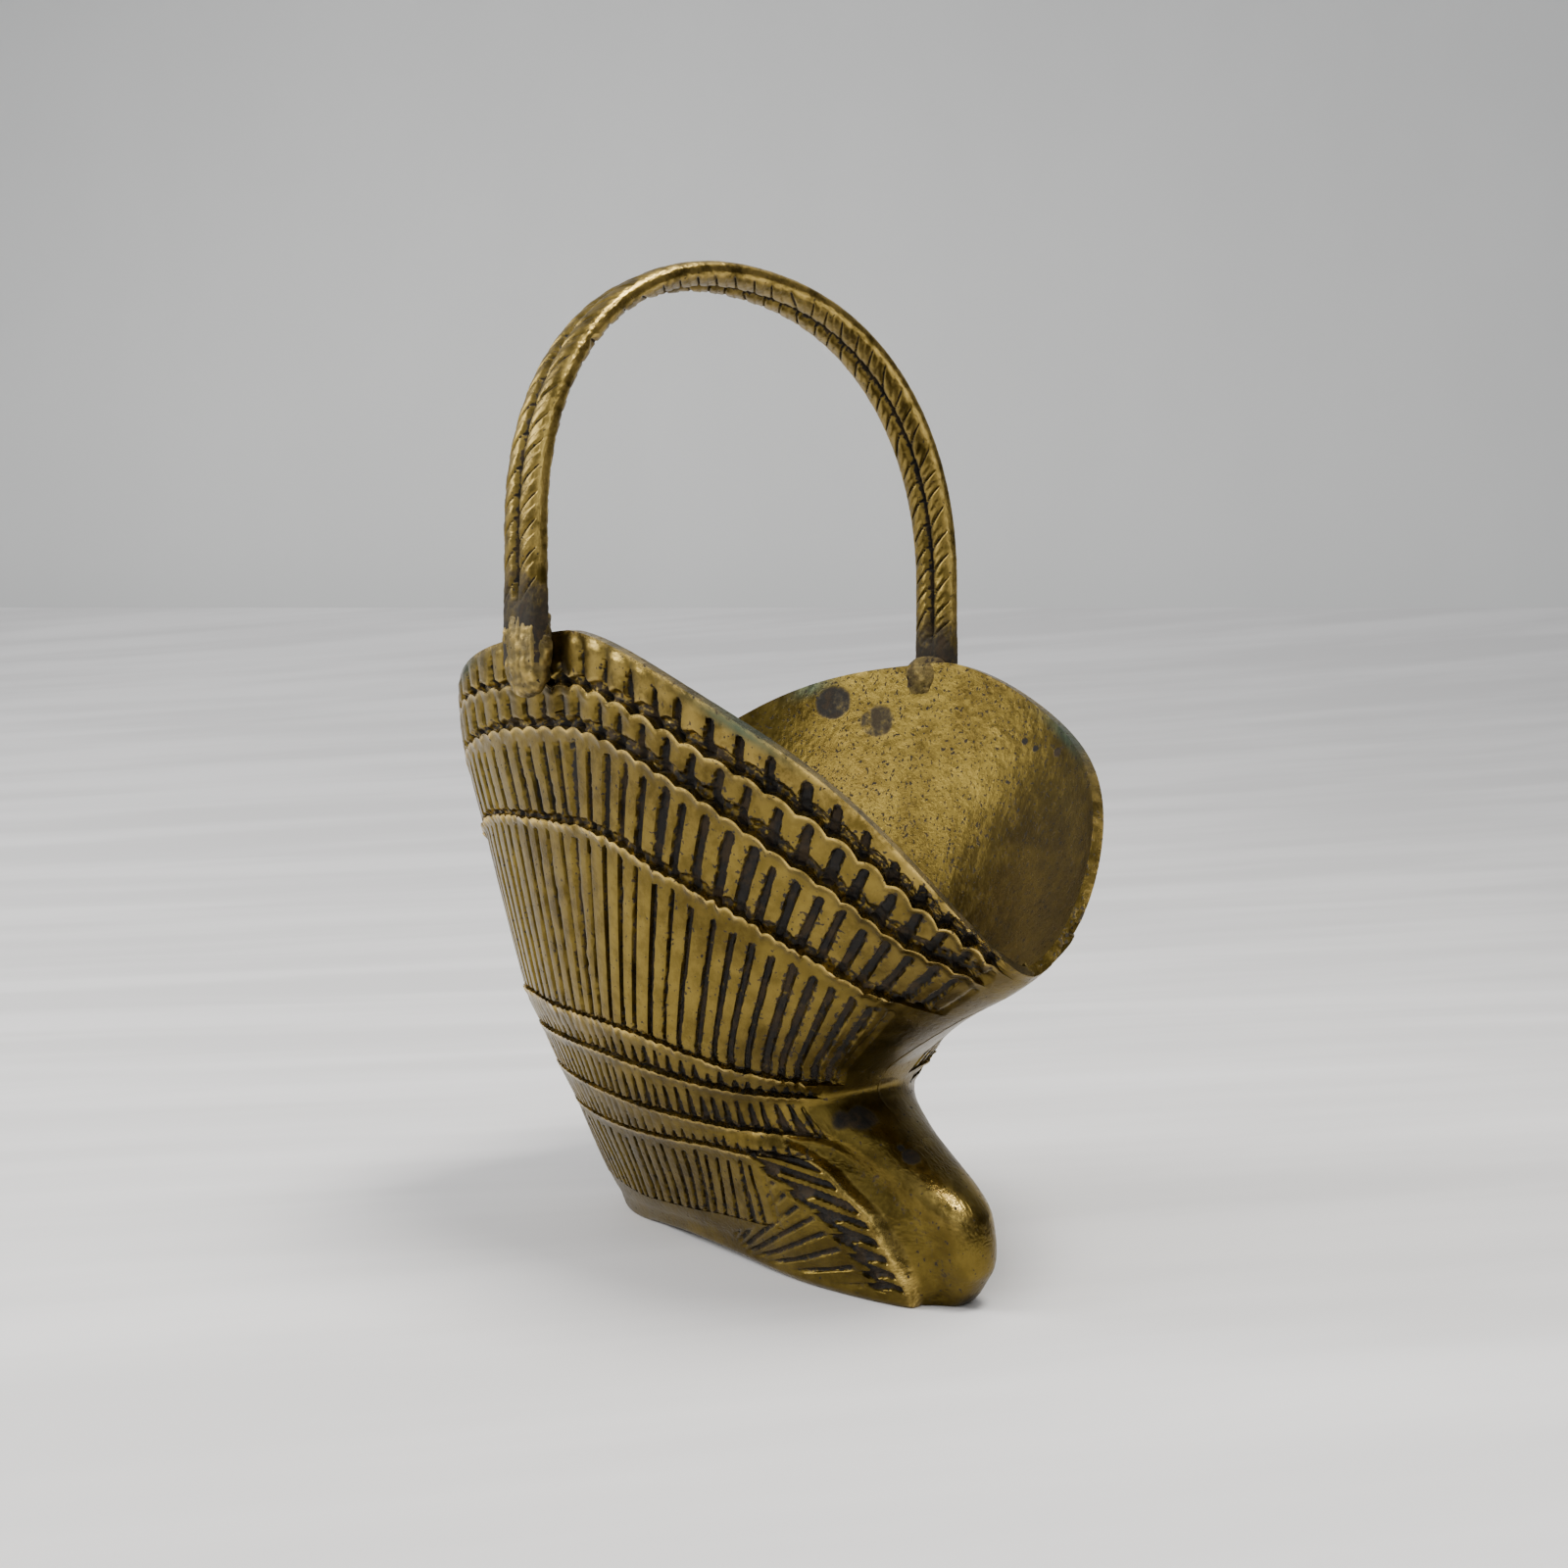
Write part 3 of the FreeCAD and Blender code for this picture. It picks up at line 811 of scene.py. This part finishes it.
@dataclass
class RopeHandle:
    """Arched strip of two rope strands lying side by side.

    Attributes:
        half_span: Half distance between the legs, millimetres.
        plane_y: Y of the arch plane.
        spring_z: Height where the legs start to lean in.
        crown_z: Height of the strip's middle at the top.
        foot_z: Lower end of the legs.
        power: Squareness of the arch.
        width: Strip width along Y.
        thick: Strip thickness.
        lay: Distance between two cuts of a strand, along the arch.
    """

    half_span: float = 55.7
    plane_y: float = 4.9
    spring_z: float = 138.0
    crown_z: float = 195.2
    foot_z: float = 114.0
    power: float = 2.18
    width: float = 11.5
    thick: float = 4.6
    lay: float = 5.2

    def path(self, count: int) -> Tuple[Array, Array, Array]:
        """Evenly spaced points on the arch.

        Args:
            count: Number of points.

        Returns:
            Points (x, z), outward normals (x, z) and lengths from the left foot.
        """
        a = np.linspace(0.0, math.pi, 1200)
        c, n = np.cos(a), np.clip(np.sin(a), 0, None)
        x = -np.sign(c) * np.abs(c) ** (2 / self.power) * self.half_span
        z = self.spring_z + (self.crown_z - self.spring_z) * n ** (2 / self.power)
        x = np.concatenate([[-self.half_span], x, [self.half_span]])
        z = np.concatenate([[self.foot_z], z, [self.foot_z]])
        length = np.concatenate([[0], np.cumsum(np.hypot(np.diff(x), np.diff(z)))])
        even = np.linspace(0, length[-1], count)
        px, pz = np.interp(even, length, x), np.interp(even, length, z)
        kernel = np.hanning(9) / np.hanning(9).sum()
        px = np.convolve(np.pad(px, 4, mode="reflect", reflect_type="odd"), kernel, "valid")
        pz = np.convolve(np.pad(pz, 4, mode="reflect", reflect_type="odd"), kernel, "valid")
        tx, tz = np.gradient(px), np.gradient(pz)
        size = np.hypot(tx, tz)
        return np.stack([px, pz], -1), np.stack([-tz / size, tx / size], -1), even

    def build(self) -> bpy.types.Object:
        """Builds the strip.

        The section is a rounded box; ``d`` runs along the arch and ``y`` across it.  The groove between
        the strands is ``bell(y)`` deep, and each strand is cut by slanted lines ``(d + slope y) / lay``.

        Returns:
            The new object.
        """
        rows, columns = 1100, 84
        path, normal, length = self.path(rows)
        phi = np.linspace(0, 2 * math.pi, columns, endpoint=False)
        c, n = np.cos(phi), np.sin(phi)
        across = np.sign(c) * np.abs(c) ** 0.66 * self.width / 2
        out = np.sign(n) * np.abs(n) ** 0.72 * self.thick / 2
        y = np.broadcast_to(across, (rows, columns))
        face = np.abs(n)[None] ** 0.8
        d = length[:, None]
        strand = np.where(y >= 0, 1.0, -1.0)
        middle = y - strand * 2.7
        slope = 0.95
        outer = np.where(n[None] >= 0, 1.0, -1.0)
        wander = GRAIN.layer(d * 0.12 + 0 * y, 5.0 * strand + 2.0 * outer)
        run = (d + slope * outer * y) / self.lay + 0.37 * strand + 0.25 * wander
        saw = run - np.floor(run)
        ends = smooth_step(9.0, 15.0, d) * (1 - smooth_step(length[-1] - 15.0, length[-1] - 9.0, d))
        crown = np.where(outer > 0, 1 - bell(d - 0.52 * length[-1], 0.20 * length[-1]), 1.0)
        ends = ends * crown
        cut = bell(saw - 0.5, 0.062) * (1 - smooth_step(1.9, 2.9, np.abs(middle))) * face * ends
        lift = 0.24 * (saw - 0.5) * face * ends * (np.abs(middle) < 2.6)
        groove = bell(y, 0.75) * face * (0.15 + 0.85 * ends)
        grit = GRAIN.cloud(d * 1.1 + 0 * y, phi[None] * 9.0 + 0 * d, 3)
        belly = 0.35 * (middle / 2.7) ** 2 * face * ends
        notch = 0.9 * bell(d - 62.0, 1.1) * (1 - smooth_step(-5.0, -3.6, y)) * (outer < 0)
        carving = 0.62 * cut + 1.15 * groove + belly + notch - lift
        radial = out[None] - outer * carving + 0.05 * outer * grit
        side = y * (1 + 0.012 * grit)
        x = path[:, :1] + normal[:, :1] * radial
        z = path[:, 1:] + normal[:, 1:] * radial
        points = np.stack([x, self.plane_y + side, z], -1)
        edge = smooth_step(0.80, 0.98, np.abs(across) / (self.width / 2))[None]
        heat = 1 - smooth_step(7.0, 26.0, np.minimum(d, length[-1] - d) + 3.0 * grit)
        grime_and_shade = np.clip(np.maximum(cut, groove * 0.95), 0, 1)
        wear = np.clip(0.75 * edge * (0.7 + 0.5 * grit) + 0.25 * (1 - grime_and_shade), 0, 1) * (1 - heat)
        faces = Builder.grid_faces(rows, columns, wrap_columns=True)
        flat = points.reshape(-1, 3)
        last = (rows - 1) * columns
        caps = [list(range(columns))[::-1], list(range(last, last + columns))]
        # Painted highlight, partly burnished metal: the upper face of the crown is painted bright.
        burnish_and_highlight = 0.8 * bell(d - 0.52 * length[-1], 0.17 * length[-1]) * (outer > 0) * (0.7 + 0.5 * grit)
        wear = np.clip(np.maximum(wear, burnish_and_highlight), 0, 1)
        facts = {"grime_and_shade": grime_and_shade, "wear": wear, "stain": np.clip(heat * 0.72, 0, 1) + 0 * y}
        return Builder.mesh("rope_strip", flat, [faces], facts, caps)


@dataclass
class FootBraze:
    """Lump of solder where a leg of the handle meets the rim.

    Attributes:
        name: Object name.
        centre: Middle of the lump, millimetres.
        half: Half sizes, millimetres.
        rough: Height of the lumps, millimetres.
        dark: How sooty it is, 0..1.
    """

    name: str
    centre: Tuple[float, float, float]
    half: Tuple[float, float, float]
    rough: float
    dark: float

    def build(self) -> bpy.types.Object:
        """Builds the lump as an uneven ellipsoid with closed poles.

        Returns:
            The new object.
        """
        rows, columns = 96, 128
        theta = np.linspace(0, math.pi, rows)[:, None]
        phi = np.linspace(0, 2 * math.pi, columns, endpoint=False)[None]
        ring = np.sin(theta)
        across, along, up = ring * np.cos(phi), ring * np.sin(phi), np.cos(theta) + 0 * phi
        pairs = ((across, along, 0, 1), (along, up, 1, 2), (up, across, 2, 0))
        soft = sum(GRAIN.cloud(4 * a * self.half[i] / 5, 4 * b * self.half[j] / 5, 2)
                   for a, b, i, j in pairs) / 1.7
        unit = np.stack([across, along, up], -1)
        unit = np.sign(unit) * np.abs(unit) ** 0.85
        outward = unit / np.array(self.half)
        outward /= np.linalg.norm(outward, axis=-1, keepdims=True)
        points = np.array(self.centre) + unit * np.array(self.half)
        points += outward * (self.rough * soft * ring ** 0.5)[..., None]
        body = points[1:-1].reshape(-1, 3)
        top, low = points[0, :1], points[-1, :1]
        vertices = np.concatenate([body, top, low])
        faces = Builder.grid_faces(rows - 2, columns, wrap_columns=True, flip=True)
        k = (rows - 2) * columns
        ring_up = [[i, (i + 1) % columns, k] for i in range(columns)]
        base = (rows - 3) * columns
        ring_low = [[base + (i + 1) % columns, base + i, k + 1] for i in range(columns)]
        flat = np.concatenate([soft[1:-1].ravel(), [0, 0]])
        facts = {"grime_and_shade": np.clip(0.25 - 1.2 * flat, 0, 1) * self.dark + 0.1,
                 "wear": np.clip(0.2 + 1.2 * flat, 0, 1) * (1 - 0.6 * self.dark),
                 "stain": np.full(len(vertices), 0.75 * self.dark)}
        return Builder.mesh(self.name, vertices, [faces], facts, ring_up + ring_low)


class NodeSketch:
    """Short words for building shader node trees."""

    def __init__(self, tree: bpy.types.NodeTree) -> None:
        """Starts from an empty tree.

        Args:
            tree: The node tree to fill.
        """
        self.tree = tree
        tree.nodes.clear()

    def add(self, kind: str) -> bpy.types.Node:
        """Adds a node.

        Args:
            kind: Blender's name for the kind of node.

        Returns:
            The node.
        """
        return self.tree.nodes.new(kind)

    def link(self, source: object, target: bpy.types.NodeSocket) -> None:
        """Feeds a socket.

        Args:
            source: Another socket, a number or a colour.
            target: The socket to feed.
        """
        if isinstance(source, bpy.types.NodeSocket):
            self.tree.links.new(source, target)
        elif isinstance(source, tuple):
            target.default_value = (*source, 1.0)
        else:
            target.default_value = source

    def fact(self, name: str) -> bpy.types.NodeSocket:
        """Reads a per-vertex value.

        Args:
            name: Name of the value.

        Returns:
            The value.
        """
        node = self.add("ShaderNodeAttribute")
        node.attribute_name = name
        return node.outputs["Fac"]

    def noise(self, where: bpy.types.NodeSocket, scale: float, detail: float,
              rough: float) -> bpy.types.NodeSocket:
        """Noise texture.

        Args:
            where: Coordinates to sample at.
            scale: Cells per metre.
            detail: Number of octaves.
            rough: Weight of the finer octaves.

        Returns:
            The noise, 0..1.
        """
        node = self.add("ShaderNodeTexNoise")
        self.link(where, node.inputs["Vector"])
        node.inputs["Scale"].default_value = scale
        node.inputs["Detail"].default_value = detail
        node.inputs["Roughness"].default_value = rough
        return node.outputs["Fac"]

    def maths(self, kind: str, *values: object) -> bpy.types.NodeSocket:
        """Works out one sum.

        Args:
            kind: Blender's name for the operation.
            *values: Sockets or numbers.

        Returns:
            The result.
        """
        node = self.add("ShaderNodeMath")
        node.operation = kind
        for value, socket in zip(values, node.inputs):
            self.link(value, socket)
        return node.outputs[0]

    def ramp(self, value: bpy.types.NodeSocket, low: float, high: float) -> bpy.types.NodeSocket:
        """Smooth ramp from 0 at ``low`` to 1 at ``high``.

        Args:
            value: What is mapped.
            low: Where the ramp starts.
            high: Where the ramp ends.

        Returns:
            The ramp, 0..1.
        """
        node = self.add("ShaderNodeMapRange")
        node.interpolation_type = "SMOOTHSTEP"
        self.link(value, node.inputs["Value"])
        node.inputs["From Min"].default_value = low
        node.inputs["From Max"].default_value = high
        return node.outputs["Result"]

    def mix(self, factor: object, first: object, second: object) -> bpy.types.NodeSocket:
        """Mixes two colours.

        Args:
            factor: Share of the second colour.
            first: First colour.
            second: Second colour.

        Returns:
            The mixed colour.
        """
        node = self.add("ShaderNodeMix")
        node.data_type = "RGBA"
        self.link(factor, node.inputs["Factor"])
        self.link(first, node.inputs[6])
        self.link(second, node.inputs[7])
        return node.outputs[2]

    def finish(self, shader: bpy.types.Node) -> None:
        """Connects a shader to the output.

        Args:
            shader: The shader node.
        """
        out = self.add("ShaderNodeOutputMaterial")
        self.tree.links.new(shader.outputs[0], out.inputs["Surface"])


@dataclass(frozen=True)
class BrassFinish:
    """Aged cast brass: olive-gold metal, black soiling in the hollows, pale rubbed edges, and the
    painted shade and highlights carried in the vertex channels.

    Attributes:
        name: Material name.
        deep: Tarnished brass colour.
        plain: Ordinary brass colour.
        bright: Rubbed brass colour, also used for the painted highlights.
        soot: Black of the deepest soiling and painted shade.
        earth: Brown of the thinner soiling and painted shade.
        film: Verdigris colour.
        rough: Roughness of the plain metal.
        mottle: Strength of the patina clouds.
        bump: Strength of the fine cast texture.
        pits: Amount of dark speckles.
    """

    name: str
    deep: Colour = (0.056, 0.037, 0.007)
    plain: Colour = (0.165, 0.117, 0.024)
    bright: Colour = (0.580, 0.410, 0.115)
    soot: Colour = (0.008, 0.006, 0.004)
    earth: Colour = (0.040, 0.025, 0.010)
    film: Colour = (0.060, 0.095, 0.065)
    rough: float = 0.29
    mottle: float = 0.90
    bump: float = 0.30
    pits: float = 0.35

    def build(self) -> bpy.types.Material:
        """Builds the node tree.

        Returns:
            The material.
        """
        material = bpy.data.materials.new(self.name)
        material.use_nodes = True
        tree = NodeSketch(material.node_tree)
        where = tree.add("ShaderNodeTexCoord").outputs["Object"]
        clouds = tree.noise(where, 46.0, 5.0, 0.62)
        mottles = tree.noise(where, 240.0, 6.0, 0.68)
        speckles = tree.noise(where, 820.0, 4.0, 0.72)
        grime_and_shade, wear, stain = tree.fact("grime_and_shade"), tree.fact("wear"), tree.fact("stain")
        patina = tree.ramp(clouds, 0.36, 0.66)
        fleck = tree.ramp(mottles, 0.40, 0.66)
        tone = tree.maths("ADD", tree.maths("MULTIPLY", patina, 0.6), tree.maths("MULTIPLY", fleck, 0.4))
        tone = tree.maths("MULTIPLY_ADD", tree.maths("SUBTRACT", tone, 0.5), self.mottle, 0.55)
        colour = tree.mix(tone, self.deep, self.plain)
        # Rubbed metal, together with the painted highlights carried in the same channel.
        worn_and_highlight = tree.maths("MULTIPLY", wear, tree.ramp(mottles, 0.30, 0.60))
        colour = tree.mix(worn_and_highlight, colour, self.bright)
        specks, green = tree.fact("specks"), tree.fact("green")
        flecks = tree.noise(where, 1150.0, 1.5, 0.6)
        pit = tree.maths("MULTIPLY_ADD", specks, 0.18, tree.maths("SUBTRACT", flecks, 0.680))
        pit = tree.maths("MULTIPLY", tree.ramp(pit, 0.0, 0.03), self.pits + 0.55)
        broken = tree.maths("MULTIPLY_ADD", tree.maths("SUBTRACT", mottles, 0.5), 0.55, grime_and_shade)
        broken = tree.maths("MULTIPLY_ADD", tree.maths("SUBTRACT", speckles, 0.5), 0.75, broken)
        broken = tree.maths("MULTIPLY_ADD", tree.maths("SUBTRACT", flecks, 0.5), 0.9, broken)
        blotch = tree.maths("MULTIPLY_ADD", tree.maths("SUBTRACT", mottles, 0.5), 1.4, stain)
        # Dark mask from soiling, stains and specks, with the painted shade carried in the soiling
        # channel.
        dirt_and_shade = tree.maths("MAXIMUM", tree.ramp(broken, 0.36, 0.66), tree.ramp(blotch, 0.25, 0.75))
        dirt_and_shade = tree.maths("MAXIMUM", dirt_and_shade, pit)
        colour = tree.mix(tree.maths("MULTIPLY", green, 0.8), colour, self.film)
        colour = tree.mix(dirt_and_shade, colour, tree.mix(tree.ramp(mottles, 0.45, 0.62), self.soot, self.earth))
        shader = tree.add("ShaderNodeBsdfPrincipled")
        tree.link(colour, shader.inputs["Base Color"])
        metallic = tree.maths("MULTIPLY_ADD", dirt_and_shade, -0.6, 0.96)
        tree.link(metallic, shader.inputs["Metallic"])
        rough = tree.maths("MULTIPLY_ADD", dirt_and_shade, 0.42, self.rough)
        rough = tree.maths("MULTIPLY_ADD", fleck, 0.10, rough)
        rough = tree.maths("MULTIPLY_ADD", worn_and_highlight, -0.14, rough)
        tree.link(rough, shader.inputs["Roughness"])
        height = tree.maths("MULTIPLY_ADD", dirt_and_shade, -0.5, tree.maths("ADD", mottles, speckles))
        bump = tree.add("ShaderNodeBump")
        bump.inputs["Strength"].default_value = self.bump
        bump.inputs["Distance"].default_value = 0.00025
        tree.link(height, bump.inputs["Height"])
        tree.link(bump.outputs["Normal"], shader.inputs["Normal"])
        tree.finish(shader)
        return material


@dataclass(frozen=True)
class Studio:
    """Table, backdrop, lights and camera.

    Attributes:
        camera_at: Place of the camera, millimetres.
        look: Level direction that the camera looks along.
        lens: Focal length, millimetres.
    """

    camera_at: Tuple[float, float, float] = (-194.6, -214.8, 92.5)
    look: Tuple[float, float] = (0.6769, 0.7361)
    lens: float = 32.625

    def plain(self, name: str, colour: Colour, rough: float, streaks: float) -> bpy.types.Material:
        """Pale painted-board finish with faint lengthwise streaks.

        Args:
            name: Material name.
            colour: Base colour.
            rough: Roughness.
            streaks: How visible the streaks are.

        Returns:
            The material.
        """
        material = bpy.data.materials.new(name)
        material.use_nodes = True
        tree = NodeSketch(material.node_tree)
        where = tree.add("ShaderNodeTexCoord").outputs["Object"]
        turned = tree.add("ShaderNodeMapping")
        turned.vector_type = "TEXTURE"
        turned.inputs["Rotation"].default_value = (0.0, 0.0, math.radians(-30.0))
        turned.inputs["Scale"].default_value = (1.0, 0.11, 1.0)
        tree.link(where, turned.inputs["Vector"])
        grain = tree.noise(turned.outputs["Vector"], 2.4, 4.0, 0.5)
        darker = tuple(channel * (1.0 - streaks) for channel in colour)
        tone = tree.mix(tree.ramp(grain, 0.34, 0.66), darker, colour)
        shader = tree.add("ShaderNodeBsdfPrincipled")
        tree.link(tone, shader.inputs["Base Color"])
        shader.inputs["Roughness"].default_value = rough
        tree.finish(shader)
        return material

    def sweep(self) -> bpy.types.Object:
        """Table top that curves up gently at its far end.

        Past 350 mm the height is ``0.00019 (d - 350)^2 + 0.055 (d - 350)``.

        Returns:
            The new object.
        """
        forward = np.array([self.look[0], self.look[1]])
        right = np.array([self.look[1], -self.look[0]])
        d = np.concatenate([np.linspace(-1500, 350, 30), np.linspace(370, 1500, 50)])
        rise = np.where(d > 350, 0.00019 * (d - 350) ** 2 + 0.055 * (d - 350), 0.0)
        side = np.linspace(-1800, 1800, 60)
        xy = d[:, None, None] * forward + side[None, :, None] * right
        z = np.broadcast_to(rise[:, None], xy.shape[:2]) - 0.02
        points = np.concatenate([xy, z[..., None]], -1).reshape(-1, 3)
        faces = Builder.grid_faces(len(d), len(side), flip=True)
        floor = Builder.mesh("table_top", points, [faces], {})
        floor.data.materials.append(self.plain("pale_board", (0.90, 0.89, 0.90), 0.6, 0.14))
        return floor

    def wall(self) -> bpy.types.Object:
        """Plain grey wall behind the table.

        Returns:
            The new object.
        """
        forward = np.array([self.look[0], self.look[1]])
        right = np.array([self.look[1], -self.look[0]])
        side, up = np.meshgrid(np.linspace(-4000, 4000, 9), np.linspace(-200, 3500, 7))
        xy = 1900 * forward + side[..., None] * right
        points = np.concatenate([xy, up[..., None]], -1).reshape(-1, 3)
        wall = Builder.mesh("backdrop", points, [Builder.grid_faces(7, 9)], {})
        wall.data.materials.append(self.plain("grey_wall", (0.90, 0.905, 0.90), 0.9, 0.02))
        return wall

    @staticmethod
    def lamp(name: str, at: Tuple[float, float, float], aim: Tuple[float, float, float],
             size: float, power: float, colour: Colour = (1, 1, 1)) -> None:
        """Adds a square area light.

        Args:
            name: Light name.
            at: Place in metres.
            aim: Point it faces, in metres.
            size: Side length in metres.
            power: Watts.
            colour: Light colour.
        """
        data = bpy.data.lights.new(name, "AREA")
        data.size, data.energy, data.color = size, power, colour
        item = bpy.data.objects.new(name, data)
        item.location = at
        item.rotation_euler = (Vector(aim) - Vector(at)).to_track_quat("-Z", "Y").to_euler()
        bpy.context.scene.collection.objects.link(item)

    @staticmethod
    def room() -> None:
        """Soft surrounding light, dark towards the front right."""
        world = bpy.data.worlds.new("room")
        bpy.context.scene.world = world
        world.use_nodes = True
        tree = NodeSketch(world.node_tree)
        facing = tree.add("ShaderNodeVectorMath")
        facing.operation = "DOT_PRODUCT"
        tree.link(tree.add("ShaderNodeTexCoord").outputs["Generated"], facing.inputs[0])
        facing.inputs[1].default_value = (0.80, -0.58, -0.12)
        shade = tree.ramp(facing.outputs["Value"], -0.15, 0.65)
        light = tree.add("ShaderNodeBackground")
        tree.link(tree.mix(shade, (0.86, 0.88, 0.90), (0.10, 0.09, 0.08)), light.inputs["Color"])
        light.inputs["Strength"].default_value = 0.66
        out = tree.add("ShaderNodeOutputWorld")
        tree.link(light.outputs[0], out.inputs["Surface"])

    def build(self) -> None:
        """Builds the studio and sets the camera."""
        self.sweep()
        self.wall()
        self.lamp("overhead", (0.02, -0.30, 1.0), (0, -0.02, 0.05), 0.34, 12.0, (1.0, 0.97, 0.90))
        self.lamp("window", (-1.05, 0.85, 0.85), (0, 0, 0.08), 0.7, 22.0, (1.0, 0.99, 0.97))
        self.lamp("fill", (-0.9, -0.9, 0.9), (0, 0, 0.08), 0.8, 2.5, (0.95, 0.97, 1.0))
        self.room()
        data = bpy.data.cameras.new("camera")
        data.lens, data.sensor_width, data.sensor_fit = self.lens, 36.0, "HORIZONTAL"
        data.dof.use_dof = False
        data.clip_start, data.clip_end = 0.01, 20.0
        camera = bpy.data.objects.new("camera", data)
        camera.location = Vector(self.camera_at) * MM
        forward = Vector((self.look[0], self.look[1], 0.0))
        camera.rotation_euler = forward.to_track_quat("-Z", "Y").to_euler()
        bpy.context.scene.collection.objects.link(camera)
        bpy.context.scene.camera = camera


@dataclass
class Planter:
    """The whole pot.

    Attributes:
        shells: The two cast halves.
        handle: The rope handle.
        brazes: The solder at the feet of the handle.
    """

    shells: List[HalfShell]
    handle: RopeHandle
    brazes: List[FootBraze]

    def build(self) -> None:
        """Builds every piece, gives it its finish and ties it to the CAD frame."""
        shell_brass = BrassFinish("shell_brass").build()
        strip_brass = BrassFinish("strip_brass", mottle=0.7, pits=0.25, rough=0.38).build()
        filler = BrassFinish("filler_brass", deep=(0.09, 0.07, 0.035), rough=0.5, bump=0.8).build()
        for shell in self.shells:
            node = f"{shell.side.name.lower()}_half_shell"
            for piece in shell.build():
                self.place(piece, shell_brass, node, "cast_shell")
        self.place(self.handle.build(), strip_brass, "rope_handle", "handle_strip")
        for braze in self.brazes:
            self.place(braze.build(), filler, braze.name.replace("_lump", ""), "braze_filler")
        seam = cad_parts["seam_braze"]
        seam.data.materials.clear()
        seam.data.materials.append(filler)

    @staticmethod
    def place(piece: bpy.types.Object, finish: bpy.types.Material, node: str, slot: str) -> None:
        """Gives a piece its finish and its place in the frame.

        Args:
            piece: The object.
            finish: Its material.
            node: CAD node it stands for.
            slot: Not used.
        """
        piece.data.materials.append(finish)
        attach(piece, "root")
        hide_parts(node)
        LOG.info("%s: %d faces", piece.name, len(piece.data.polygons))


def main() -> None:
    """Builds the scene in order and notes its size."""
    logging.basicConfig(level=logging.INFO)
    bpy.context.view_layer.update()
    ornament = Ornament()
    Planter(
        shells=[HalfShell(Side.LEFT, ornament), HalfShell(Side.RIGHT, ornament)],
        handle=RopeHandle(),
        brazes=[
            FootBraze("left_handle_braze_lump", (-55.3, 4.9, 117.0), (3.1, 6.2, 9.0), 0.55, 0.3),
            FootBraze("right_handle_braze_lump", (52.3, 4.9, 116.4), (3.2, 6.2, 5.7), 0.25, 0.6),
        ],
    ).build()
    Studio().build()


if __name__ == "__main__":
    main()
